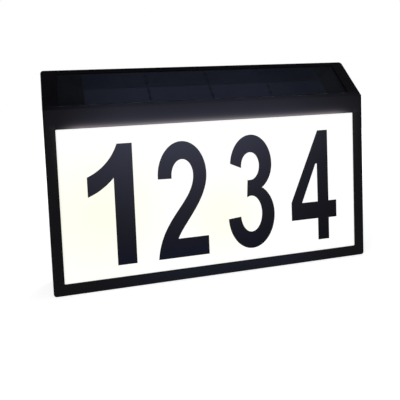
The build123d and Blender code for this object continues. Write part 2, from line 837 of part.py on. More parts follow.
y_solder = y_tab - contact_tab / 2
z_over = cell_z + contact_width / 2 + tab_clearance
lead(
    "battery_lead_red",
    [
        (cradle_plus, y_solder, cell_z),
        (cradle_plus + plus_lead_run, y_solder, cell_z),
        (cell_socket_x - lead_spread, y_socket, z_lead),
        (cell_socket_x - lead_spread, y_socket, socket_top),
    ],
)
lead(
    "battery_lead_black",
    [
        (cradle_minus + contact_thickness, y_solder, cell_z),
        (cradle_minus + minus_lead_start, y_solder, cell_z),
        (cradle_minus + minus_lead_rise, y_solder, z_over),
        (cradle_plus + plus_lead_run, y_solder, z_over),
        (cell_socket_x + lead_spread, y_socket, z_lead + black_lead_lift),
        (cell_socket_x + lead_spread, y_socket, socket_top),
    ],
)
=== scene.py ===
"""Looks of a solar-charged house number sign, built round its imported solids.

Everything is in metres, in the frame of the solids: X across, Y back to the wall, Z up.
"""
import logging
import math
from collections.abc import Callable, Iterable
from dataclasses import dataclass, field
from enum import Enum
from typing import Any

import bpy
from bpy.types import Material, MeshPolygon, Node, NodeSocket, NodeTree, Object
from mathutils import Euler, Matrix, Vector


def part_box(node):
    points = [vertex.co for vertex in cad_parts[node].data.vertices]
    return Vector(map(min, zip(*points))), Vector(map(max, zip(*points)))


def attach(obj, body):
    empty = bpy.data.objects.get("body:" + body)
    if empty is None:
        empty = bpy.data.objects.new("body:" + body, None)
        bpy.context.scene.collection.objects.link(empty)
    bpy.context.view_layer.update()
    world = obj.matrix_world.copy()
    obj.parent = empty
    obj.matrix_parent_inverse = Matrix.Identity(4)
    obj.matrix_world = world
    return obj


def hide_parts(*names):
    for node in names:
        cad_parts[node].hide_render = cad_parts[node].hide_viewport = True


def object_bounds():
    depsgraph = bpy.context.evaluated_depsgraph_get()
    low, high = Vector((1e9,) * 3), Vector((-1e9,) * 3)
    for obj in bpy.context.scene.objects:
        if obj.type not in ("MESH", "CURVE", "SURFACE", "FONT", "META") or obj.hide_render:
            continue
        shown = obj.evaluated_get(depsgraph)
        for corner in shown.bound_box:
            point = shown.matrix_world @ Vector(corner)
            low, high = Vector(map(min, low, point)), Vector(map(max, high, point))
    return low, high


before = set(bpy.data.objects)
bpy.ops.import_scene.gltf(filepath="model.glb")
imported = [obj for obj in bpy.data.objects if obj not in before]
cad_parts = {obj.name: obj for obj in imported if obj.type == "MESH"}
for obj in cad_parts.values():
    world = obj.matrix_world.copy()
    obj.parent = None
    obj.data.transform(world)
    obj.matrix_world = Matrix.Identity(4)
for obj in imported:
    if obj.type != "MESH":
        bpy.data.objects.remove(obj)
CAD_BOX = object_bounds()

MM = 0.001
NODES: dict[str, Object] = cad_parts
log = logging.getLogger("sign")

Rgba = tuple[float, float, float, float]
WHITE: Rgba = (1.0, 1.0, 1.0, 1.0)

# Sockets of a Mix node that mixes colours
MIX_SHARE, MIX_FROM, MIX_TO, MIX_RESULT = 0, 6, 7, 2
# Setting of a ramp that starts and ends gently
SMOOTH: dict[str | int, Any] = {"interpolation_type": "SMOOTHSTEP"}
# Most values of a noise texture lie between these
NOISE_LOW, NOISE_HIGH = 0.3, 0.7
# Fineness of the clouds in colour and gloss, and of the grain
CLOUD_DETAIL, GRAIN_DETAIL = 3.0, 2.0
# The gloss drifts in patches of a third of the size of the colour's
DRIFTS_PER_MOTTLE = 3
LEAST_ROUGHNESS = 0.02
# Digits of a metre that tell places apart when they are sorted: a tenth of a millimetre
SORT_DIGITS = 4


class Body(Enum):
    """The body that the new pieces ride on."""

    SIGN = "sign"


class Axis(Enum):
    """Index of each axis in a point."""

    X = 0
    Y = 1
    Z = 2


class Way(Enum):
    """The side of a line on which a light falls off: that of higher or of lower values."""

    RISING = 1
    FALLING = -1


class Operation(Enum):
    """What a boolean does with the other object."""

    ADD = "UNION"
    CUT = "DIFFERENCE"


def linear(hex_colour: str) -> Rgba:
    """Turn an sRGB hex colour into the linear colour that a shader takes.

    Args:
        hex_colour: A colour such as "#17181b".

    Returns:
        Red, green, blue and an alpha of one.
    """
    shares = [int(hex_colour[i:i + 2], 16) / 255 for i in (1, 3, 5)]
    red, green, blue = (s / 12.92 if s <= 0.04045 else ((s + 0.055) / 1.055) ** 2.4 for s in shares)
    return red, green, blue, 1.0


def per_metre(size_mm: float) -> float:
    """Texture scale at which one cell of a pattern has that size in millimetres."""
    return 1 / (size_mm * MM)


def add_node(
    tree: NodeTree,
    kind: str,
    settings: dict[str | int, Any] | None = None,
    links: dict[str | int, NodeSocket] | None = None,
) -> Node:
    """Add a node, set its properties and sockets, and link it.

    Args:
        tree: The node tree that takes the node.
        kind: The node's type name.
        settings: Properties by attribute name, or socket values by socket name or number.
        links: Output sockets to link, by the name or number of the input that takes them.

    Returns:
        The new node.
    """
    node = tree.nodes.new(kind)
    for key, value in (settings or {}).items():
        if isinstance(key, str) and key in node.bl_rna.properties:
            setattr(node, key, value)
    for key, value in (settings or {}).items():
        if not (isinstance(key, str) and key in node.bl_rna.properties):
            node.inputs[key].default_value = value
    for key, socket in (links or {}).items():
        tree.links.new(socket, node.inputs[key])
    return node


@dataclass(frozen=True)
class Finish:
    """A material as it was made: its colour, its gloss and the grain of its surface."""

    name: str
    colour: str
    roughness: float
    specular: float = 0.5
    ior: float = 1.5
    metallic: float = 0.0
    coat: float = 0.0
    coat_roughness: float = 0.03
    transmission: float = 0.0
    mottle: float = 0.12
    mottle_mm: float = 30.0
    gloss_drift: float = 0.06
    grain_mm: float = 1.0
    grain_depth_mm: float = 0.0

    def material(self) -> Material:
        """Make the material on its first use.

        Returns:
            The material, the same one each time.
        """
        found = bpy.data.materials.get(self.name)
        if found is not None:
            return found
        made = bpy.data.materials.new(self.name)
        made.use_nodes = True
        made.diffuse_color = linear(self.colour)
        tree = made.node_tree
        tree.nodes.clear()
        place = add_node(tree, "ShaderNodeTexCoord").outputs["Object"]
        shader = add_node(tree, "ShaderNodeBsdfPrincipled", {
            "Base Color": linear(self.colour),
            "Metallic": self.metallic,
            "Roughness": self.roughness,
            "IOR": self.ior,
            "Specular IOR Level": self.specular,
            "Coat Weight": self.coat,
            "Coat Roughness": self.coat_roughness,
            "Transmission Weight": self.transmission,
        })
        self.paint(tree, place, shader)
        add_node(tree, "ShaderNodeOutputMaterial", links={"Surface": shader.outputs["BSDF"]})
        return made

    def paint(self, tree: NodeTree, place: NodeSocket, shader: Node) -> None:
        """Link the colour, gloss and grain that vary over the surface.

        Args:
            tree: The material's nodes.
            place: Object coordinates.
            shader: The surface shader.
        """
        self.tint(tree, place, shader)
        drift = add_node(tree, "ShaderNodeTexNoise", {
            "Scale": per_metre(self.mottle_mm / DRIFTS_PER_MOTTLE), "Detail": CLOUD_DETAIL,
        }, {"Vector": place})
        gloss = add_node(tree, "ShaderNodeMapRange", {
            "From Min": NOISE_LOW, "From Max": NOISE_HIGH,
            "To Min": max(self.roughness - self.gloss_drift, LEAST_ROUGHNESS),
            "To Max": min(self.roughness + self.gloss_drift, 1.0),
        }, {"Value": drift.outputs["Fac"]})
        tree.links.new(gloss.outputs["Result"], shader.inputs["Roughness"])
        if self.grain_depth_mm > 0:
            grain = add_node(tree, "ShaderNodeTexNoise", {
                "Scale": per_metre(self.grain_mm), "Detail": GRAIN_DETAIL,
            }, {"Vector": place})
            bump = add_node(tree, "ShaderNodeBump", {"Strength": 1.0, "Distance": self.grain_depth_mm * MM},
                            {"Height": grain.outputs["Fac"]})
            tree.links.new(bump.outputs["Normal"], shader.inputs["Normal"])

    def tint(self, tree: NodeTree, place: NodeSocket, shader: Node) -> None:
        """Let the colour wander a little, as a moulding's or a coating's does.

        Args:
            tree: The material's nodes.
            place: Object coordinates.
            shader: The surface shader.
        """
        cloud = add_node(tree, "ShaderNodeTexNoise", {
            "Scale": per_metre(self.mottle_mm), "Detail": CLOUD_DETAIL,
        }, {"Vector": place})
        base = linear(self.colour)
        dark = tuple(share * (1 - self.mottle) for share in base[:3]) + (1.0,)
        pale = tuple(min(share * (1 + self.mottle), 1.0) for share in base[:3]) + (1.0,)
        mix = add_node(tree, "ShaderNodeMix", {"data_type": "RGBA", MIX_FROM: dark, MIX_TO: pale},
                       {MIX_SHARE: cloud.outputs["Fac"]})
        tree.links.new(mix.outputs[MIX_RESULT], shader.inputs["Base Color"])


@dataclass(frozen=True)
class PaintedGlow:
    """A glow painted on a surface as emission: its colour, its level and how far it reaches."""

    colour: str
    level: float
    reach_mm: float


@dataclass(frozen=True)
class PaintedGlowAbs(Finish):
    """Black ABS round the lit window, with a glow painted onto it as emission round the window."""

    # Painted glows, as emission: a bright line at the window's top edge, a haze above it, a bluish sheen
    # along the foot and a little beside it
    edge: PaintedGlow = PaintedGlow("#fff0f6", 0.25, 1.7)
    haze: PaintedGlow = PaintedGlow("#aab2d8", 0.058, 26.0)
    foot: PaintedGlow = PaintedGlow("#93b0f6", 0.0135, 26.0)
    side: PaintedGlow = PaintedGlow("#fff0f6", 0.010, 3.0)
    side_drop_mm: float = 70.0
    side_rise_mm: float = 5.0
    wall_depth_mm: float = 4.2
    edge_fade_mm: float = 26.0
    haze_fade_mm: float = 5.5
    haze_left_mm: tuple[float, float] = (-165.0, -85.0)
    haze_right_mm: tuple[float, float] = (40.0, 190.0)
    haze_least: float = 0.1
    foot_left_mm: tuple[float, float] = (-135.0, -45.0)
    foot_right_mm: tuple[float, float] = (60.0, 140.0)
    # Read off the moulding, in metres
    window_top: float = 0.0
    window_foot: float = 0.0
    half_window: float = 0.1
    half_width: float = 0.1
    front: float = 0.0

    @staticmethod
    def glow(tree: NodeTree, height: NodeSocket, start: float, way: Way,
             light: PaintedGlow) -> NodeSocket:
        """Make a painted glow that is strongest at a line and falls off on one side of it.

        Args:
            tree: The material's nodes.
            height: A point's place on the way, such as its Z.
            start: The place at which the light is strongest.
            way: The side on which it falls off.
            light: Its colour, level and reach.

        Returns:
            The colour of the painted glow, with none on the other side.
        """
        away = add_node(tree, "ShaderNodeMath", {"operation": "SUBTRACT", 1: start}, {0: height})
        ahead = add_node(tree, "ShaderNodeMath", {"operation": "MULTIPLY", 1: way.value},
                         {0: away.outputs["Value"]})
        # The other side is held at none, since the power of a long way back would run to infinity
        beyond = add_node(tree, "ShaderNodeMath", {"operation": "MAXIMUM", 1: 0.0},
                          {0: ahead.outputs["Value"]})
        depth = add_node(tree, "ShaderNodeMath", {"operation": "DIVIDE", 1: -light.reach_mm * MM},
                         {0: beyond.outputs["Value"]})
        fall = add_node(tree, "ShaderNodeMath", {"operation": "EXPONENT"}, {0: depth.outputs["Value"]})
        side = add_node(tree, "ShaderNodeMath", {"operation": "GREATER_THAN", 1: 0.0},
                        {0: ahead.outputs["Value"]})
        share = add_node(tree, "ShaderNodeMath", {"operation": "MULTIPLY"},
                         {0: fall.outputs["Value"], 1: side.outputs["Value"]})
        strength = tuple(light.level * part for part in linear(light.colour)[:3])
        shown = add_node(tree, "ShaderNodeVectorMath", {"operation": "SCALE", 0: strength},
                         {"Scale": share.outputs["Value"]})
        return shown.outputs["Vector"]

    def spread(self, tree: NodeTree, across: NodeSocket, left_mm: tuple[float, float],
               right_mm: tuple[float, float]) -> NodeSocket:
        """Make the share of a painted glow that is full in the middle and falls off to both sides.

        Args:
            tree: The material's nodes.
            across: A point's X.
            left_mm: Where the rise from the left starts and ends.
            right_mm: Where the fall to the right starts and ends.

        Returns:
            One in the middle, the least share at the sides.
        """
        shares = []
        for (first, last), low, high in ((left_mm, self.haze_least, 1.0), (right_mm, 1.0, self.haze_least)):
            shares.append(add_node(tree, "ShaderNodeMapRange", SMOOTH | {
                "From Min": first * MM, "From Max": last * MM, "To Min": low, "To Max": high,
            }, {"Value": across}).outputs["Result"])
        both = add_node(tree, "ShaderNodeMath", {"operation": "MULTIPLY"}, {0: shares[0], 1: shares[1]})
        return both.outputs["Value"]

    def beside(self, tree: NodeTree, across: NodeSocket,
               height: NodeSocket) -> NodeSocket:
        """Make the painted glow on the frame beside the window, most of it at the window's upper end.

        Args:
            tree: The material's nodes.
            across: A point's distance from the middle.
            height: A point's Z.

        Returns:
            The colour of the painted glow.
        """
        light = self.glow(tree, across, self.half_window, Way.RISING, self.side)
        upper = add_node(tree, "ShaderNodeMapRange", SMOOTH | {
            "From Min": self.window_top - self.side_drop_mm * MM, "From Max": self.window_top,
        }, {"Value": height})
        under = add_node(tree, "ShaderNodeMapRange", SMOOTH | {
            "From Min": self.window_top, "From Max": self.window_top + self.side_rise_mm * MM,
            "To Min": 1.0, "To Max": 0.0,
        }, {"Value": height})
        for share in (upper, under):
            light = add_node(tree, "ShaderNodeVectorMath", {"operation": "SCALE"},
                             {0: light, "Scale": share.outputs["Result"]}).outputs["Vector"]
        return light

    def masks(self, tree: NodeTree, across: NodeSocket,
              depth: NodeSocket) -> tuple[NodeSocket, ...]:
        """Make the shares that keep all the painted glow on the front wall and off the outer sides.

        Args:
            tree: The material's nodes.
            across: A point's distance from the middle.
            depth: A point's Y.

        Returns:
            The two shares.
        """
        skin = add_node(tree, "ShaderNodeMapRange", SMOOTH | {
            "From Min": self.half_width, "From Max": self.half_width + self.haze_fade_mm * MM,
            "To Min": 1.0, "To Max": 0.0,
        }, {"Value": across})
        wall = add_node(tree, "ShaderNodeMath",
                        {"operation": "LESS_THAN", 1: self.front + self.wall_depth_mm * MM}, {0: depth})
        return skin.outputs["Result"], wall.outputs["Value"]

    def paint(self, tree: NodeTree, place: NodeSocket, shader: Node) -> None:
        """Paint a glow round the window onto the plain moulding, as emission.

        Args:
            tree: The material's nodes.
            place: Object coordinates.
            shader: The surface shader.
        """
        super().paint(tree, place, shader)
        axes = add_node(tree, "ShaderNodeSeparateXYZ", links={"Vector": place})
        height = axes.outputs["Z"]
        away = add_node(tree, "ShaderNodeMath", {"operation": "ABSOLUTE"}, {0: axes.outputs["X"]})
        across = away.outputs["Value"]
        ends = add_node(tree, "ShaderNodeMapRange", SMOOTH | {
            "From Min": self.half_window - self.edge_fade_mm * MM, "From Max": self.half_window,
            "To Min": 1.0, "To Max": 0.0,
        }, {"Value": across})
        above = self.spread(tree, axes.outputs["X"], self.haze_left_mm, self.haze_right_mm)
        below = self.spread(tree, axes.outputs["X"], self.foot_left_mm, self.foot_right_mm)
        total = self.beside(tree, across, height)
        for light, start, way, share in (
            (self.edge, self.window_top, Way.RISING, ends.outputs["Result"]),
            (self.haze, self.window_top, Way.RISING, above),
            (self.foot, self.window_foot, Way.FALLING, below),
        ):
            shown = add_node(tree, "ShaderNodeVectorMath", {"operation": "SCALE"},
                             {0: self.glow(tree, height, start, way, light), "Scale": share})
            total = add_node(tree, "ShaderNodeVectorMath", {"operation": "ADD"},
                             {0: total, 1: shown.outputs["Vector"]}).outputs["Vector"]
        for mask in self.masks(tree, across, axes.outputs["Y"]):
            total = add_node(tree, "ShaderNodeVectorMath", {"operation": "SCALE"},
                             {0: total, "Scale": mask}).outputs["Vector"]
        shader.inputs["Emission Strength"].default_value = 1.0
        tree.links.new(total, shader.inputs["Emission Color"])


@dataclass(frozen=True)
class WarmPatch:
    """A faint warm patch on the lit sheet: its place, its reach and its share of the warm colour."""

    across_mm: float
    up_mm: float
    reach_mm: float
    share: float


@dataclass(frozen=True)
class LitAcrylic(Finish):
    """Opal acrylic with the light guide shining through it."""

    glow_colour: str = "#fffffe"
    warm_colour: str = "#ffffe4"
    glow: float = 0.8
    front: float = 0.0
    warm_patches: tuple[WarmPatch, ...] = (WarmPatch(-118, -32, 90, 0.9), WarmPatch(5, -47, 60, 0.75))

    def paint(self, tree: NodeTree, place: NodeSocket, shader: Node) -> None:
        """Add an even light with faint warm patches.

        Args:
            tree: The material's nodes.
            place: Object coordinates.
            shader: The surface shader.
        """
        super().paint(tree, place, shader)
        shares = []
        for patch in self.warm_patches:
            middle = (patch.across_mm * MM, self.front, patch.up_mm * MM)
            away = add_node(tree, "ShaderNodeVectorMath", {"operation": "DISTANCE", 1: middle}, {0: place})
            share = add_node(tree, "ShaderNodeMapRange", SMOOTH | {
                "From Max": patch.reach_mm * MM,
                "To Min": patch.share, "To Max": 0.0,
            }, {"Value": away.outputs["Value"]})
            shares.append(share.outputs["Result"])
        warmth = shares[0]
        for share in shares[1:]:
            both = add_node(tree, "ShaderNodeMath", {"operation": "MAXIMUM"}, {0: warmth, 1: share})
            warmth = both.outputs["Value"]
        mix = add_node(tree, "ShaderNodeMix", {
            "data_type": "RGBA", MIX_FROM: linear(self.glow_colour), MIX_TO: linear(self.warm_colour),
        }, {MIX_SHARE: warmth})
        shader.inputs["Emission Strength"].default_value = self.glow
        tree.links.new(mix.outputs[MIX_RESULT], shader.inputs["Emission Color"])


@dataclass(frozen=True)
class CutVinyl(Finish):
    """Dark vinyl film on a lit sheet, with a painted glow that is strongest near the lamps and in the
    middle.
    """

    # Painted glow on the film: paler near the lamps and in the middle, bluer at the foot
    painted_glow_colour: str = "#b4b9e0"
    painted_foot_colour: str = "#86a8ff"
    foot_share: float = 0.25
    painted_glow_level: float = 0.082
    painted_glow_least: float = 0.14
    painted_glow_curve: float = 1.8
    low: float = 0.0
    high: float = 0.1
    painted_glow_middle: float = 0.0
    painted_glow_reach: float = 0.26

    def paint(self, tree: NodeTree, place: NodeSocket, shader: Node) -> None:
        """Paint a glow onto the film as emission, paler towards the lamps and bluer at the foot.

        Args:
            tree: The material's nodes.
            place: Object coordinates.
            shader: The surface shader.
        """
        super().paint(tree, place, shader)
        axes = add_node(tree, "ShaderNodeSeparateXYZ", links={"Vector": place})
        rise = add_node(tree, "ShaderNodeMapRange", {
            "From Min": self.low, "From Max": self.high, "To Min": 0.0, "To Max": 1.0,
        }, {"Value": axes.outputs["Z"]})
        curve = add_node(tree, "ShaderNodeMath", {"operation": "POWER", 1: self.painted_glow_curve},
                         {0: rise.outputs["Result"]})
        offset = add_node(tree, "ShaderNodeMath", {"operation": "SUBTRACT", 1: self.painted_glow_middle},
                          {0: axes.outputs["X"]})
        away = add_node(tree, "ShaderNodeMath", {"operation": "ABSOLUTE"}, {0: offset.outputs["Value"]})
        side = add_node(tree, "ShaderNodeMapRange", SMOOTH | {
            "From Max": self.painted_glow_reach,
            "To Min": self.painted_glow_level, "To Max": 0.0,
        }, {"Value": away.outputs["Value"]})
        share = add_node(tree, "ShaderNodeMapRange", {"To Min": self.painted_glow_least, "To Max": 1.0},
                         {"Value": curve.outputs["Value"]})
        level = add_node(tree, "ShaderNodeMath", {"operation": "MULTIPLY"},
                         {0: share.outputs["Result"], 1: side.outputs["Result"]})
        foot = add_node(tree, "ShaderNodeMapRange", {"From Max": self.foot_share},
                        {"Value": rise.outputs["Result"]})
        colour = add_node(tree, "ShaderNodeMix", {
            "data_type": "RGBA", MIX_FROM: linear(self.painted_foot_colour), MIX_TO: linear(self.painted_glow_colour),
        }, {MIX_SHARE: foot.outputs["Result"]})
        glow = add_node(tree, "ShaderNodeVectorMath", {"operation": "SCALE"},
                        {0: colour.outputs[MIX_RESULT], "Scale": level.outputs["Value"]})
        shader.inputs["Emission Strength"].default_value = 1.0
        tree.links.new(glow.outputs["Vector"], shader.inputs["Emission Color"])


@dataclass(frozen=True)
class SiliconCell(Finish):
    """Blue-black silicon with an anti-glare layer and fine printed fingers."""

    finger_colour: str = "#3f454f"
    # Painted glare: the lower row is drawn paler
    painted_glare_colour: str = "#2c2e3b"
    finger_mm: float = 2.0
    finger_width: float = 0.08
    row_split: float = 0.0
    row_blend_mm: float = 2.0
    # Painted shade: the end cells are drawn darker, round a middle a little left of the sign's
    painted_end_shade: float = 0.55
    painted_shade_middle_mm: float = -14.0
    painted_end_shade_mm: tuple[float, float] = (50.0, 135.0)

    def tint(self, tree: NodeTree, place: NodeSocket, shader: Node) -> None:
        """Draw the fingers over a mottled blue-black, with painted glare that makes the lower row paler and
        painted shade that makes the end cells darker.

        Args:
            tree: The material's nodes.
            place: Object coordinates.
            shader: The surface shader.
        """
        super().tint(tree, place, shader)
        axes = add_node(tree, "ShaderNodeSeparateXYZ", links={"Vector": place})
        row = add_node(tree, "ShaderNodeMapRange", {
            "From Min": self.row_split - self.row_blend_mm * MM,
            "From Max": self.row_split + self.row_blend_mm * MM,
            "To Min": 1.0, "To Max": 0.0,
        }, {"Value": axes.outputs["Z"]})
        mottled = shader.inputs["Base Color"].links[0].from_socket
        rows = add_node(tree, "ShaderNodeMix", {"data_type": "RGBA", MIX_TO: linear(self.painted_glare_colour)},
                        {MIX_SHARE: row.outputs["Result"], MIX_FROM: mottled})
        steps = add_node(tree, "ShaderNodeMath", {"operation": "MULTIPLY", 1: per_metre(self.finger_mm)},
                         {0: axes.outputs["X"]})
        step = add_node(tree, "ShaderNodeMath", {"operation": "FRACT"}, {0: steps.outputs["Value"]})
        line = add_node(tree, "ShaderNodeMath", {"operation": "LESS_THAN", 1: self.finger_width},
                        {0: step.outputs["Value"]})
        mix = add_node(tree, "ShaderNodeMix", {"data_type": "RGBA", MIX_TO: linear(self.finger_colour)},
                       {MIX_SHARE: line.outputs["Value"], MIX_FROM: rows.outputs[MIX_RESULT]})
        offset = add_node(tree, "ShaderNodeMath", {"operation": "SUBTRACT", 1: self.painted_shade_middle_mm * MM},
                          {0: axes.outputs["X"]})
        across = add_node(tree, "ShaderNodeMath", {"operation": "ABSOLUTE"}, {0: offset.outputs["Value"]})
        shade = add_node(tree, "ShaderNodeMapRange", SMOOTH | {
            "From Min": self.painted_end_shade_mm[0] * MM, "From Max": self.painted_end_shade_mm[1] * MM,
            "To Min": 1.0, "To Max": self.painted_end_shade,
        }, {"Value": across.outputs["Value"]})
        shaded = add_node(tree, "ShaderNodeVectorMath", {"operation": "SCALE"},
                          {0: mix.outputs[MIX_RESULT], "Scale": shade.outputs["Result"]})
        tree.links.new(shaded.outputs["Vector"], shader.inputs["Base Color"])


@dataclass(frozen=True)
class CellLaminate(Finish):
    """Black laminate, printed a shade paler in the field that the cells cover."""

    field_colour: str = "#22232e"
    field_low: tuple[float, float] = (-0.1, 0.0)
    field_high: tuple[float, float] = (0.1, 0.1)

    def tint(self, tree: NodeTree, place: NodeSocket, shader: Node) -> None:
        """Print the field over the plain laminate.

        Args:
            tree: The material's nodes.
            place: Object coordinates.
            shader: The surface shader.
        """
        super().tint(tree, place, shader)
        axes = add_node(tree, "ShaderNodeSeparateXYZ", links={"Vector": place})
        inside = []
        for name, low, high in zip("XZ", self.field_low, self.field_high):
            inside.append(add_node(tree, "ShaderNodeMath", {
                "operation": "COMPARE", 1: (low + high) / 2, 2: (high - low) / 2,
            }, {0: axes.outputs[name]}).outputs["Value"])
        both = add_node(tree, "ShaderNodeMath", {"operation": "MULTIPLY"}, {0: inside[0], 1: inside[1]})
        plain = shader.inputs["Base Color"].links[0].from_socket
        mix = add_node(tree, "ShaderNodeMix", {"data_type": "RGBA", MIX_TO: linear(self.field_colour)},
                       {MIX_SHARE: both.outputs["Value"], MIX_FROM: plain})
        tree.links.new(mix.outputs[MIX_RESULT], shader.inputs["Base Color"])


# Spark-eroded black ABS: deep black with a dry, fine-grained sheen. The grain is drawn coarser than its
# 0.3 mm so that it shows.
BLACK_ABS = Finish("black_abs_spark_eroded", "#0e0c10", 0.52, specular=0.06, mottle=0.2, mottle_mm=45.0,
                   grain_mm=0.9, grain_depth_mm=0.05)
# The same ABS, left plain from the mould on the back: smoother, with a wider sheen
PLAIN_ABS = Finish("black_abs_plain_moulded", "#0e0c10", 0.46, specular=0.22, mottle=0.2, mottle_mm=45.0,
                   gloss_drift=0.1, grain_mm=1.6, grain_depth_mm=0.03)
# Moulded grey ABS of the inner tray: plain and half matt
GREY_ABS = Finish("grey_abs_moulded", "#8e9092", 0.5, grain_mm=1.2, grain_depth_mm=0.02)
# Silicone rubber of the seal: soft, dusty and dark
SILICONE = Finish("dark_silicone_rubber", "#1b1c1f", 0.72, specular=0.25, ior=1.41, mottle=0.18,
                  grain_mm=0.7, grain_depth_mm=0.03)
# Grey silicone of the button: the same rubber with a pale pigment
GREY_SILICONE = Finish("grey_silicone_rubber", "#4a4d53", 0.68, specular=0.3, ior=1.41, mottle=0.12,
                       grain_mm=0.7, grain_depth_mm=0.03)
# Zinc-plated screws: pale bluish metal with a faint brushed cloud
ZINC = Finish("zinc_plated_steel", "#a9adb3", 0.32, metallic=1.0, mottle=0.1, mottle_mm=4.0,
              grain_mm=0.4, grain_depth_mm=0.01)
# Nickel-plated spring steel: warmer and smoother than zinc
NICKEL = Finish("nickel_plated_spring_steel", "#bdb6a8", 0.22, metallic=1.0, mottle=0.06, mottle_mm=6.0)
# Clear PET laminated to the cells: the glue takes away its refraction, and only the gloss of its face shows
CLEAR_PET = Finish("clear_pet_sheet", "#f4f6fa", 0.08, ior=1.05, coat=0.32, coat_roughness=0.12,
                   transmission=1.0, mottle=0.01, gloss_drift=0.02)
# Tinned copper ties between the cells, dulled under the sheet
TINNED = Finish("tinned_copper_tie", "#2b2e37", 0.5, metallic=1.0, mottle=0.1, mottle_mm=3.0)
# Clear cast acrylic of the light guide: glassy, with sharp reflections
GUIDE = Finish("clear_cast_acrylic", "#f2f5f4", 0.05, ior=1.49, transmission=1.0, mottle=0.01)
# White polyester film behind the guide: an even white with a soft sheen
WHITE_FILM = Finish("white_polyester_film", "#eeeeec", 0.45, mottle=0.03)
# White solder mask over a thin board: a creamy lacquer with a soft gloss
WHITE_MASK = Finish("white_solder_mask", "#e4e3dd", 0.35, mottle=0.04)
# Green solder mask: glossy lacquer over copper and glass fibre
GREEN_MASK = Finish("green_solder_mask", "#1c6b3a", 0.3, coat=0.3, mottle=0.2, mottle_mm=5.0,
                    grain_mm=0.8, grain_depth_mm=0.02)
# Lamp bodies moulded with a yellow phosphor: small pale yellow pads that glow
PHOSPHOR = LitAcrylic("lamp_phosphor", "#f3e6a8", 0.4, glow_colour="#fffbe6", warm_colour="#fff6cc",
                      glow=1.0)
# Shrunk PVC sleeve of the cell: strong blue under a tight gloss
SLEEVE = Finish("blue_shrink_sleeve", "#1d4f9e", 0.28, coat=0.2, mottle=0.08)
# Black moulded epoxy of the chips and the switch: dull, with a fine grain
EPOXY = Finish("black_moulded_epoxy", "#161617", 0.6, grain_mm=0.4, grain_depth_mm=0.01)
# Drawn aluminium can: pale metal with clean, soft reflections
CAN = Finish("drawn_aluminium_can", "#b7bbc0", 0.25, metallic=1.0, mottle=0.06, mottle_mm=3.0)
# Sintered ferrite: dark, dry and grainy
FERRITE = Finish("sintered_ferrite", "#3a3a3d", 0.75, grain_mm=0.5, grain_depth_mm=0.02)
# Natural nylon: milky and half matt
NYLON = Finish("natural_nylon", "#e2ddcf", 0.4, mottle=0.04)
# PVC extruded on the wires: an even colour with a soft gloss
RED_PVC = Finish("red_pvc_wire", "#b01c1c", 0.4, ior=1.53, mottle=0.08, mottle_mm=8.0)
BLACK_PVC = Finish("black_pvc_wire", "#141415", 0.4, ior=1.53, mottle=0.15, mottle_mm=8.0)


def dress(finish: Finish, names: Iterable[str]) -> None:
    """Give solids a finish.

    Args:
        finish: What they are made of.
        names: The nodes that take it.
    """
    for name in names:
        slots = NODES[name].data.materials
        slots.clear()
        slots.append(finish.material())
        log.info("dressed %s in %s", name, finish.name)


def cad_points(name: str) -> list[Vector]:
    """Every corner of a solid's mesh, in metres."""
    return [vertex.co.copy() for vertex in NODES[name].data.vertices]


def clusters(points: list[Vector], reach: float) -> list[Vector]:
    """Find the middles of solids that stand apart in one node.

    Args:
        points: Corners of all the solids.
        reach: A distance, seen from the back, larger than a solid and smaller than the space between two.

    Returns:
        One middle for each solid, from left to right and then upwards.
    """
    groups: list[list[Vector]] = []
    for point in points:
        near = (g for g in groups if abs(g[0].x - point.x) < reach and abs(g[0].z - point.z) < reach)
        group = next(near, None)
        if group is None:
            groups.append([point])
        else:
            group.append(point)
    middles = []
    for group in groups:
        low = Vector(min(p[axis.value] for p in group) for axis in Axis)
        high = Vector(max(p[axis.value] for p in group) for axis in Axis)
        middles.append((low + high) / 2)
    return sorted(middles, key=lambda m: (round(m.x, SORT_DIGITS), round(m.z, SORT_DIGITS)))


def steps(points: list[Vector], axis: Axis, least: float) -> list[float]:
    """The different coordinates that points have along an axis.

    Args:
        points: The points.
        axis: Which coordinate to read.
        least: Values closer than this count as one.

    Returns:
        The values, from low to high.
    """
    found: list[float] = []
    for value in sorted(p[axis.value] for p in points):
        if not found or value - found[-1] > least:
            found.append(value)
    return found


def only(piece: Object) -> None:
    """Select one object and make it active.

    Args:
        piece: The object.
    """
    bpy.ops.object.select_all(action="DESELECT")
    piece.select_set(True)
    bpy.context.view_layer.objects.active = piece


def started(name: str) -> Object:
    """Name the object that was just added.

    Args:
        name: The name of the object and its mesh.

    Returns:
        The object.
    """
    piece = bpy.context.view_layer.objects.active
    piece.name = name
    piece.data.name = name
    return piece


def pick_faces(piece: Object, wanted: Callable[[MeshPolygon], bool]) -> None:
    """Select, in edit mode, only the faces that a test accepts.

    Args:
        piece: The object being edited.
        wanted: The test.
    """
    bpy.ops.mesh.select_mode(type="FACE")
    bpy.ops.mesh.select_all(action="DESELECT")
    bpy.ops.object.mode_set(mode="OBJECT")
    for polygon in piece.data.polygons:
        polygon.select = wanted(polygon)
    bpy.ops.object.mode_set(mode="EDIT")


def copied(piece: Object, matrix: Matrix) -> Object:
    """Set a copy of a piece in place, and move that place into its mesh.

    Args:
        piece: The piece, modelled at the origin.
        matrix: Where the copy goes.

    Returns:
        The copy, its own origin left where the sign's is.
    """
    copy = piece.copy()
    copy.data = piece.data.copy()
    bpy.context.scene.collection.objects.link(copy)
    copy.data.transform(matrix @ copy.matrix_world)
    copy.matrix_world = Matrix.Identity(4)
    return copy


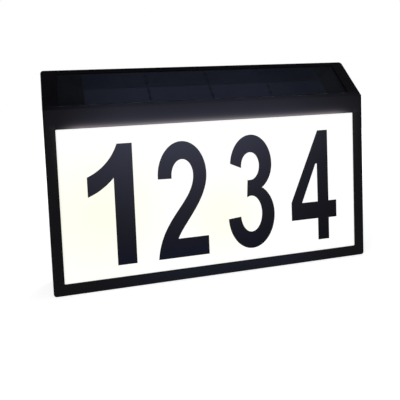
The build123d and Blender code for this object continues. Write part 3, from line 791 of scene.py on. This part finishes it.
def joined(pieces: list[Object], name: str) -> Object:
    """Join pieces that stand for one node.

    Args:
        pieces: The objects to join, each in place.
        name: The name of the joined piece.

    Returns:
        The joined object.
    """
    bpy.ops.object.select_all(action="DESELECT")
    for piece in pieces:
        piece.select_set(True)
    bpy.context.view_layer.objects.active = pieces[0]
    bpy.ops.object.join()
    return started(name)


def aboard(piece: Object, body: Body, finish: Finish) -> None:
    """Dress a new piece and let it ride on its body.

    Args:
        piece: The piece.
        body: The body that it rides on.
        finish: What it is made of.
    """
    piece.data.materials.clear()
    piece.data.materials.append(finish.material())
    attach(piece, body.value)
    log.info("built %s", piece.name)


@dataclass
class Housing:
    """The black moulded front and back, with the seal between them."""

    rim_inset: float = 6 * MM
    face_slack: float = 0.05 * MM
    window_top: float = 0.0
    window_foot: float = 0.0
    half_window: float = 0.0
    half_width: float = 0.0
    front: float = 0.0

    def measure(self) -> None:
        """Read the window's edges off the front of the moulding."""
        low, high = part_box("front_housing")
        self.front = low.y
        self.half_width = high.x - self.rim_inset
        bottom, top = (corner.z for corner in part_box("front_panel"))
        face = [p for p in cad_points("front_housing") if p.y < low.y + self.face_slack]
        rim = [p for p in face if abs(p.x) < self.half_width and bottom < p.z < top]
        self.window_top = max(p.z for p in rim)
        self.window_foot = min(p.z for p in rim)
        self.half_window = max(p.x for p in rim)

    def dress(self) -> None:
        """Black ABS outside, silicone in the joint."""
        self.measure()
        # The same ABS, with a faint glow painted round the window as emission
        lit = PaintedGlowAbs("black_abs_painted_glow", BLACK_ABS.colour, BLACK_ABS.roughness,
                         specular=BLACK_ABS.specular,
                         mottle=BLACK_ABS.mottle, mottle_mm=BLACK_ABS.mottle_mm,
                         grain_mm=BLACK_ABS.grain_mm, grain_depth_mm=BLACK_ABS.grain_depth_mm,
                         window_top=self.window_top, window_foot=self.window_foot,
                         half_window=self.half_window, half_width=self.half_width, front=self.front)
        dress(lit, ["front_housing"])
        dress(PLAIN_ABS, ["back_cover"])
        dress(SILICONE, ["cover_gasket"])


@dataclass
class LightPanel:
    """The lit window: opal sheet, light guide, reflector and the lamps above them."""

    numerals: tuple[str, ...] = ("numeral_1", "numeral_2", "numeral_3", "numeral_4")
    painted_glow_middle: float = -38 * MM

    def dress(self) -> None:
        """Light the window, and paint a faint glow on the numerals."""
        # Cast opal acrylic: milky and half matt, and lit so evenly that no lamp shows
        opal = LitAcrylic("opal_acrylic_lit", "#a3a39f", 0.35, specular=0.3, mottle=0.01,
                          front=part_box("front_panel")[0].y)
        dress(opal, ["front_panel"])
        dress(GUIDE, ["light_guide"])
        dress(WHITE_FILM, ["reflector_sheet"])
        dress(WHITE_MASK, ["led_strip"])
        dress(PHOSPHOR, ["leds"])
        low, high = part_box(self.numerals[0])
        # Cut vinyl film: near black with a soft sheen, and a glow painted on it that is paler towards the
        # lamps
        vinyl = CutVinyl("cut_vinyl_film", "#08060d", 0.42, specular=0.045, mottle=0.15, mottle_mm=18.0,
                         grain_mm=1.5, grain_depth_mm=0.015, low=low.z, high=high.z,
                         painted_glow_middle=self.painted_glow_middle)
        dress(vinyl, self.numerals)


@dataclass
class SolarPanel:
    """Board, cells and clear sheet in the roof, with the tinned ties between the cells."""

    tie_width: float = 1.4 * MM
    tie_lap: float = 1.6 * MM
    tie_thickness: float = 0.04 * MM
    tie_place: float = 0.28
    tie_bevel: float = 0.3 * MM
    least_step: float = 0.2 * MM
    least_lean: float = 0.1

    def axes(self) -> Matrix:
        """Find the roof's own axes on the largest face that leans forwards and up.

        Returns:
            The turn from across the roof, up its slope and off it, to the sign's axes.
        """
        leaning = (f for f in NODES["solar_cells"].data.polygons
                   if f.normal.z > self.least_lean and f.normal.y < -self.least_lean)
        off = max(leaning, key=lambda f: f.area).normal
        across = Vector((1, 0, 0))
        return Matrix((across, off.cross(across), off)).transposed().to_4x4()

    def dress(self) -> None:
        """Dress the panel's layers."""
        low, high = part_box("solar_cells")
        # Silicon: nearly black, with the blue of its anti-glare layer; painted glare pales the lower row
        # and painted shade darkens the end cells
        silicon = SiliconCell("silicon_cells", "#20212c", 0.35, specular=0.2, mottle=0.25, mottle_mm=22.0,
                              row_split=(low.z + high.z) / 2)
        # Black glass-fibre laminate behind the cells: printed and matt
        laminate = CellLaminate("black_glass_fibre_laminate", "#101215", 0.6, specular=0.2, mottle_mm=12.0,
                                field_low=(low.x, low.z), field_high=(high.x, high.z))
        dress(laminate, ["solar_board"])
        dress(silicon, ["solar_cells"])
        dress(CLEAR_PET, ["solar_cover"])
        # The lamps shine straight through the sheet onto the cells
        sheet = NODES["solar_cover"]
        sheet.visible_shadow = False
        sheet.visible_diffuse = False
        sheet.visible_glossy = False

    def tie(self, length: float) -> Object:
        """Model one flat tie with cut corners, as long as a gap and its two laps.

        Args:
            length: End to end, across the gap.

        Returns:
            The tie, flat on the XY plane.
        """
        bpy.ops.object.select_all(action="DESELECT")
        bpy.ops.mesh.primitive_cube_add(size=1.0, location=(0, 0, self.tie_thickness / 2))
        strip = started("cell_tie")
        strip.scale = (length, self.tie_width, self.tie_thickness)
        bpy.ops.object.transform_apply(location=True, rotation=True, scale=True)
        bpy.ops.object.mode_set(mode="EDIT")
        bpy.ops.mesh.select_mode(type="EDGE")
        bpy.ops.mesh.select_all(action="DESELECT")
        bpy.ops.object.mode_set(mode="OBJECT")
        for edge in strip.data.edges:
            ends = [strip.data.vertices[i].co for i in edge.vertices]
            edge.select = (ends[0] - ends[1]).xy.length < self.tie_thickness / 2
        bpy.ops.object.mode_set(mode="EDIT")
        bpy.ops.mesh.bevel(offset=self.tie_bevel, segments=1, affect="EDGES")
        bpy.ops.object.mode_set(mode="OBJECT")
        return strip

    def build(self) -> None:
        """Lay two ties over each gap between neighbouring cells of a row."""
        axes = self.axes()
        points = [axes.inverted() @ p for p in cad_points("solar_cells")]
        columns = steps(points, Axis.X, self.least_step)
        rows = steps(points, Axis.Y, self.least_step)
        top = max(p.z for p in points)
        strip = self.tie(columns[2] - columns[1] + 2 * self.tie_lap)
        copies = []
        for left, right in zip(columns[1:-1:2], columns[2::2]):
            for low, high in zip(rows[::2], rows[1::2]):
                for share in (self.tie_place, 1 - self.tie_place):
                    seat = Matrix.Translation(((left + right) / 2, low + share * (high - low), top))
                    copies.append(copied(strip, axes @ seat))
        bpy.data.objects.remove(strip)
        aboard(joined(copies, "cell_ties"), Body.SIGN, TINNED)


@dataclass
class CoverScrews:
    """Cross-head screws that hold the back cover."""

    sides: int = 48
    head_radius: float = 2.4 * MM
    head_height: float = 1.9 * MM
    shank_radius: float = 1.3 * MM
    shank_length: float = 12.7 * MM
    head_rounding: float = 0.8 * MM
    rounding_steps: int = 5
    slot_length: float = 2.7 * MM
    slot_width: float = 0.6 * MM
    slot_depth: float = 1.1 * MM
    slot_taper: float = 0.62
    turn_step_deg: float = 37.0
    tip_share: float = 0.8
    smooth_deg: float = 35.0
    flat_normal: float = 0.9
    cluster_reach: float = 6.0 * MM

    def head(self) -> Object:
        """Model one screw along Z, without its recess.

        Returns:
            The screw, its head's seat at the origin.
        """
        bpy.ops.object.select_all(action="DESELECT")
        bpy.ops.mesh.primitive_cylinder_add(vertices=self.sides, radius=self.head_radius,
                                            depth=self.head_height, location=(0, 0, self.head_height / 2))
        screw = started("cover_screw")
        bpy.ops.object.transform_apply(location=True, rotation=True, scale=True)
        bpy.ops.object.mode_set(mode="EDIT")
        pick_faces(screw, lambda f: f.normal.z > self.flat_normal)
        bpy.ops.mesh.region_to_loop()
        bpy.ops.mesh.bevel(offset=self.head_rounding, segments=self.rounding_steps, affect="EDGES")
        pick_faces(screw, lambda f: f.normal.z < -self.flat_normal)
        bpy.ops.mesh.inset(thickness=self.head_radius - self.shank_radius)
        bpy.ops.mesh.extrude_region_move(TRANSFORM_OT_translate={"value": (0, 0, -self.shank_length)})
        bpy.ops.mesh.inset(thickness=self.shank_radius * self.tip_share)
        bpy.ops.transform.translate(value=(0, 0, -self.shank_radius))
        bpy.ops.object.mode_set(mode="OBJECT")
        return screw

    def cross(self) -> Object:
        """Model the tapered cross that cuts the recess.

        Returns:
            The cross, its middle at the top of the head.
        """
        arms = []
        for turn in (0.0, math.pi / 2):
            bpy.ops.object.select_all(action="DESELECT")
            bpy.ops.mesh.primitive_cube_add(size=1.0, location=(0, 0, self.head_height))
            arm = started("recess_arm")
            arm.scale = (self.slot_length, self.slot_width, 2 * self.slot_depth)
            arm.rotation_euler = Euler((0, 0, turn))
            bpy.ops.object.transform_apply(location=True, rotation=True, scale=True)
            bpy.ops.object.mode_set(mode="EDIT")
            pick_faces(arm, lambda f: f.normal.z < -self.flat_normal)
            bpy.ops.transform.resize(value=(self.slot_taper, self.slot_taper, 1))
            bpy.ops.object.mode_set(mode="OBJECT")
            arms.append(arm)
        for arm in arms[1:]:
            self.boolean(arms[0], arm, Operation.ADD)
        return arms[0]

    @staticmethod
    def boolean(piece: Object, other: Object, operation: Operation) -> None:
        """Apply a boolean and remove the other object.

        Args:
            piece: The object that is changed.
            other: The object that changes it.
            operation: What the boolean does.
        """
        only(piece)
        modifier = piece.modifiers.new("cut", "BOOLEAN")
        modifier.operation = operation.value
        modifier.object = other
        modifier.solver = "EXACT"
        bpy.ops.object.modifier_apply(modifier=modifier.name)
        bpy.data.objects.remove(other)

    def build(self) -> None:
        """Model one screw, then set a copy in each counterbore."""
        screw = self.head()
        self.boolean(screw, self.cross(), Operation.CUT)
        only(screw)
        bpy.ops.object.shade_smooth_by_angle(angle=math.radians(self.smooth_deg))
        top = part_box("cover_screws")[1].y
        upright = Matrix.Rotation(-math.pi / 2, 4, "X")
        copies = []
        for index, middle in enumerate(clusters(cad_points("cover_screws"), self.cluster_reach)):
            turn = Matrix.Rotation(math.radians(index * self.turn_step_deg), 4, "Z")
            seat = Matrix.Translation((middle.x, top - self.head_height, middle.z))
            copies.append(copied(screw, seat @ upright @ turn))
        bpy.data.objects.remove(screw)
        screws = joined(copies, "cross_head_screws")
        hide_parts("cover_screws")
        aboard(screws, Body.SIGN, ZINC)


@dataclass
class Workings:
    """What the closed housing holds: tray, cell, control board, switch and leads."""

    finishes: dict[str, Finish] = field(default_factory=lambda: {
        "tray": GREY_ABS, "inner_screws": ZINC,
        "battery_cell": SLEEVE, "battery_plus_contact": NICKEL, "battery_minus_contact": NICKEL,
        "control_board": GREEN_MASK, "board_chips": EPOXY, "board_capacitors": CAN,
        "board_inductor": FERRITE, "lead_sockets": NYLON,
        "switch_body": EPOXY, "switch_plunger": NYLON, "push_button": GREY_SILICONE,
        "solar_lead_red": RED_PVC, "lamp_lead_red": RED_PVC, "battery_lead_red": RED_PVC,
        "solar_lead_black": BLACK_PVC, "lamp_lead_black": BLACK_PVC, "battery_lead_black": BLACK_PVC,
    })

    def dress(self) -> None:
        """Dress every inner piece and the button."""
        for name, finish in self.finishes.items():
            dress(finish, [name])


@dataclass(frozen=True)
class Softbox:
    """A square soft lamp turned to the sign: its place and side in metres, its power in watts."""

    name: str
    place: tuple[float, float, float]
    side: float
    power: float


@dataclass
class Studio:
    """A pale floor, a white surround with a dim ceiling, and soft lamps."""

    floor_half: float = 6.0
    floor_colour: str = "#f2f2f2"
    floor_roughness: float = 0.9
    floor_lift: float = 0.7
    floor_far_lift: float = 1.0
    floor_near: float = 0.2
    floor_far: float = 0.6
    fill: float = 0.6
    ceiling_colour: str = "#22283c"
    ceiling_starts: float = 0.45
    ceiling_ends: float = 0.82
    lamps: tuple[Softbox, ...] = (
        Softbox("softbox_left", (-1.1, -1.3, 0.8), 1.0, 9.0),
        Softbox("softbox_back", (0.9, 1.3, 0.5), 1.0, 6.0),
    )

    @staticmethod
    def seen(tree: NodeTree) -> NodeSocket:
        """Tell the rays that show a thing from the rays that only light it.

        Args:
            tree: The nodes that need to know.

        Returns:
            One on a ray from the camera, off a gloss or through a clear sheet, else zero.
        """
        paths = add_node(tree, "ShaderNodeLightPath")
        shown = paths.outputs["Is Camera Ray"]
        for kind in ("Is Glossy Ray", "Is Transmission Ray"):
            shown = add_node(tree, "ShaderNodeMath", {"operation": "MAXIMUM"},
                             {0: shown, 1: paths.outputs[kind]}).outputs["Value"]
        return shown

    def floor(self) -> None:
        """Lay a floor under the sign that stays white to the camera and keeps its shadow."""
        bpy.ops.object.select_all(action="DESELECT")
        bpy.ops.mesh.primitive_plane_add(size=2 * self.floor_half, location=(0, 0, CAD_BOX[0].z))
        floor = started("studio_floor")
        made = bpy.data.materials.new("pale_paper_floor")
        made.use_nodes = True
        tree = made.node_tree
        tree.nodes.clear()
        place = add_node(tree, "ShaderNodeTexCoord").outputs["Object"]
        away = add_node(tree, "ShaderNodeVectorMath", {"operation": "LENGTH"}, {0: place})
        fade = add_node(tree, "ShaderNodeMapRange", SMOOTH | {
            "From Min": self.floor_near, "From Max": self.floor_far,
            "To Min": self.floor_lift, "To Max": self.floor_far_lift,
        }, {"Value": away.outputs["Value"]})
        lift = add_node(tree, "ShaderNodeMath", {"operation": "MULTIPLY"},
                        {0: self.seen(tree), 1: fade.outputs["Result"]})
        paper = add_node(tree, "ShaderNodeBsdfPrincipled", {
            "Base Color": linear(self.floor_colour), "Roughness": self.floor_roughness,
            "Specular IOR Level": 0.0, "Emission Color": WHITE,
        }, {"Emission Strength": lift.outputs["Value"]})
        add_node(tree, "ShaderNodeOutputMaterial", links={"Surface": paper.outputs["BSDF"]})
        floor.data.materials.append(made)

    def surround(self) -> None:
        """White all round to the eye and in reflections, dimmer overhead, with a softer fill."""
        world = bpy.data.worlds.new("white_studio")
        world.use_nodes = True
        tree = world.node_tree
        tree.nodes.clear()
        place = add_node(tree, "ShaderNodeTexCoord").outputs["Generated"]
        axes = add_node(tree, "ShaderNodeSeparateXYZ", links={"Vector": place})
        overhead = add_node(tree, "ShaderNodeMapRange", SMOOTH | {
            "From Min": self.ceiling_starts, "From Max": self.ceiling_ends,
        }, {"Value": axes.outputs["Z"]})
        colour = add_node(tree, "ShaderNodeMix", {
            "data_type": "RGBA", MIX_FROM: WHITE, MIX_TO: linear(self.ceiling_colour),
        }, {MIX_SHARE: overhead.outputs["Result"]})
        level = add_node(tree, "ShaderNodeMapRange", {"To Min": self.fill, "To Max": 1.0},
                         {"Value": self.seen(tree)})
        back = add_node(tree, "ShaderNodeBackground",
                        links={"Color": colour.outputs[MIX_RESULT], "Strength": level.outputs["Result"]})
        add_node(tree, "ShaderNodeOutputWorld", links={"Surface": back.outputs["Background"]})
        bpy.context.scene.world = world

    def light(self) -> None:
        """Hang the soft lamps and turn them to the sign."""
        for softbox in self.lamps:
            lamp = bpy.data.lights.new(softbox.name, "AREA")
            lamp.shape = "SQUARE"
            lamp.size = softbox.side
            lamp.energy = softbox.power
            holder = bpy.data.objects.new(softbox.name, lamp)
            holder.location = softbox.place
            holder.rotation_euler = (-Vector(softbox.place)).to_track_quat("-Z", "Y").to_euler()
            bpy.context.scene.collection.objects.link(holder)

    def build(self) -> None:
        """Set up the floor, the surround and the lamps."""
        self.floor()
        self.surround()
        self.light()
        bpy.context.scene.view_settings.view_transform = "Standard"


@dataclass
class PhotoCamera:
    """The photograph's viewpoint, fitted to the sign's edges in it."""

    place_mm: tuple[float, float, float] = (-159.6, -533.2, 82.1)
    turn_deg: float = 15.35
    tip_deg: float = -4.53
    roll_deg: float = -2.35
    image_px: float = 400.0
    focal_px: float = 514.0
    axis_px: tuple[float, float] = (190.4, 130.2)
    sensor_mm: float = 36.0
    clip_start: float = 10 * MM

    def build(self) -> None:
        """Make the camera and give it to the scene."""
        lens = bpy.data.cameras.new("photo_camera")
        lens.sensor_width = self.sensor_mm
        lens.lens = self.focal_px / self.image_px * self.sensor_mm
        lens.shift_x = 0.5 - self.axis_px[0] / self.image_px
        lens.shift_y = self.axis_px[1] / self.image_px - 0.5
        lens.clip_start = self.clip_start
        camera = bpy.data.objects.new("photo_camera", lens)
        turn = Matrix.Rotation(math.radians(-self.turn_deg), 4, "Z")
        tip = Matrix.Rotation(math.radians(90 + self.tip_deg), 4, "X")
        roll = Matrix.Rotation(math.radians(self.roll_deg), 4, "Z")
        camera.matrix_world = Matrix.Translation(Vector(self.place_mm) * MM) @ turn @ tip @ roll
        bpy.context.scene.collection.objects.link(camera)
        bpy.context.scene.camera = camera


def main() -> None:
    """Build and dress the sign, then the studio round it."""
    logging.basicConfig(level=logging.INFO, format="%(name)s: %(message)s")
    Housing().dress()
    LightPanel().dress()
    solar = SolarPanel()
    solar.dress()
    solar.build()
    CoverScrews().build()
    Workings().dress()
    Studio().build()
    PhotoCamera().build()


if __name__ == "__main__":
    main()
